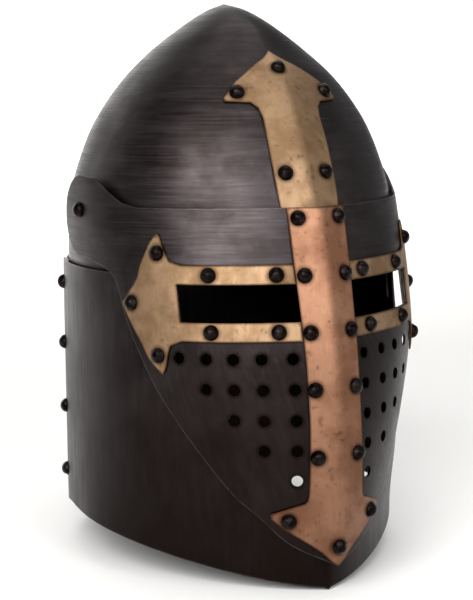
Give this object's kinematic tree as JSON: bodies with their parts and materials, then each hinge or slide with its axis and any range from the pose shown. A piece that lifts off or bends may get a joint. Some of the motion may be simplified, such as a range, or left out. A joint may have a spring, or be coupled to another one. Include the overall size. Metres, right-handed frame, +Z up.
{
  "type": "sugarloaf helm",
  "caption": "Pointed great helm with a keeled visor that lifts on temple rivets, brass-framed sight slits, cheek breath holes and a copper and brass centre strip.",
  "frame": {"origin": "bottom centre of the helm, on the surface it stands on", "axes": "+Z up to the point of the crown, the face looks along -Y, +X is the wearer's left"},
  "size_m": [0.2282, 0.2848, 0.363],
  "materials": {
    "blackened_steel": "dark oil-blackened sheet steel, brushed, with lighter worn edges",
    "brass_trim": "aged dull brass sheet with brown patches",
    "copper_trim": "aged copper sheet, pinkish brown with dark stains",
    "rivet_steel": "hammered domed rivet heads, near black, slightly glossy"
  },
  "bodies": {
    "skull": {"crown": "blackened_steel", "front_plate": "blackened_steel", "back_plate": "blackened_steel", "crown_strip": "brass_trim", "pivot_rivet_left": "rivet_steel", "crown_rivet_left_1": "rivet_steel", "crown_rivet_left_2": "rivet_steel", "seam_rivet_left_1": "rivet_steel", "seam_rivet_left_2": "rivet_steel", "seam_rivet_left_3": "rivet_steel", "seam_rivet_left_4": "rivet_steel", "back_rivet_left_1": "rivet_steel", "back_rivet_left_2": "rivet_steel", "pivot_rivet_right": "rivet_steel", "crown_rivet_right_1": "rivet_steel", "crown_rivet_right_2": "rivet_steel", "seam_rivet_right_1": "rivet_steel", "seam_rivet_right_2": "rivet_steel", "seam_rivet_right_3": "rivet_steel", "seam_rivet_right_4": "rivet_steel", "back_rivet_right_1": "rivet_steel", "back_rivet_right_2": "rivet_steel", "crown_rivet_tip": "rivet_steel"},
    "face_guard": {"visor": "blackened_steel", "visor_strip": "copper_trim", "sight_frame_left": "brass_trim", "sight_frame_right": "brass_trim", "strip_rivet_left_1": "rivet_steel", "strip_rivet_left_2": "rivet_steel", "strip_rivet_left_3": "rivet_steel", "strip_rivet_left_4": "rivet_steel", "strip_rivet_left_5": "rivet_steel", "strip_rivet_left_6": "rivet_steel", "frame_rivet_left_1": "rivet_steel", "frame_rivet_left_2": "rivet_steel", "frame_rivet_left_3": "rivet_steel", "frame_rivet_left_4": "rivet_steel", "frame_rivet_left_5": "rivet_steel", "frame_rivet_left_6": "rivet_steel", "frame_rivet_left_7": "rivet_steel", "strip_rivet_right_1": "rivet_steel", "strip_rivet_right_2": "rivet_steel", "strip_rivet_right_3": "rivet_steel", "strip_rivet_right_4": "rivet_steel", "strip_rivet_right_5": "rivet_steel", "strip_rivet_right_6": "rivet_steel", "frame_rivet_right_1": "rivet_steel", "frame_rivet_right_2": "rivet_steel", "frame_rivet_right_3": "rivet_steel", "frame_rivet_right_4": "rivet_steel", "frame_rivet_right_5": "rivet_steel", "frame_rivet_right_6": "rivet_steel", "frame_rivet_right_7": "rivet_steel", "strip_rivet_tip": "rivet_steel"}
  },
  "joints": [
    {"name": "visor_pivot", "type": "hinge", "parent": "skull", "child": "face_guard", "pos_m": [0, 0.00035, 0.2325], "axis": [-1, 0, 0], "range_deg": [0, 38]}
  ]
}
